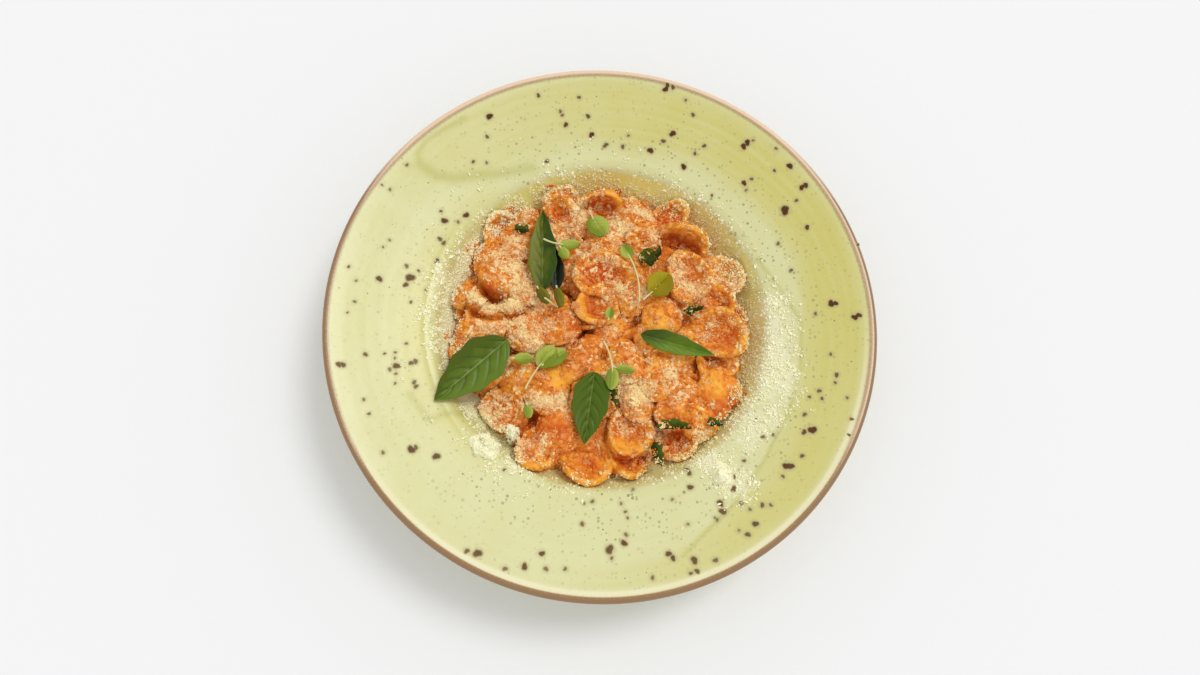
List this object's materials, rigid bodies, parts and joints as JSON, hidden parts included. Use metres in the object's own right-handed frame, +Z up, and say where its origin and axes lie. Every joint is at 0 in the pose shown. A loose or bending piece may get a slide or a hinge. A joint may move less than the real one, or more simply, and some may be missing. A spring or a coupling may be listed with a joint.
{
  "type": "plated orecchiette",
  "caption": "Orecchiette in tomato sauce heaped in the well of a wide-rimmed speckled stoneware pasta plate, with basil, cress and grated cheese.",
  "frame": {"origin": "centre of the plate, on the surface that its foot stands on", "axes": "+Z up, the axis the plate was turned about; the picture looks down from the -Y side"},
  "size_m": [0.28, 0.28, 0.0479],
  "materials": {
    "glaze": "satin glaze with iron specks",
    "pasta": "wet tomato sauce with grated cheese",
    "basil": "fresh leaf",
    "wilted_basil": "wilted leaf in sauce",
    "cress": "young leaf",
    "cheese": "finely grated hard cheese"
  },
  "bodies": {
    "root": {"basil_leaf_dark": "basil", "basil_leaf_folded": "basil", "basil_leaf_front": "basil", "basil_leaf_left": "basil", "basil_leaf_right": "basil", "cheese_clump_1": "cheese", "cheese_clump_2": "cheese", "cheese_clump_3": "cheese", "cress_sprig_1": "cress", "cress_sprig_10": "cress", "cress_sprig_11": "cress", "cress_sprig_2": "cress", "cress_sprig_3": "cress", "cress_sprig_4": "cress", "cress_sprig_5": "cress", "cress_sprig_6": "cress", "cress_sprig_7": "cress", "cress_sprig_8": "cress", "cress_sprig_9": "cress", "orecchiette": "pasta", "plate": "glaze", "wilted_basil_1": "wilted_basil", "wilted_basil_2": "wilted_basil", "wilted_basil_3": "wilted_basil", "wilted_basil_4": "wilted_basil", "wilted_basil_5": "wilted_basil", "wilted_basil_6": "wilted_basil", "wilted_basil_7": "wilted_basil"}
  },
  "joints": []
}
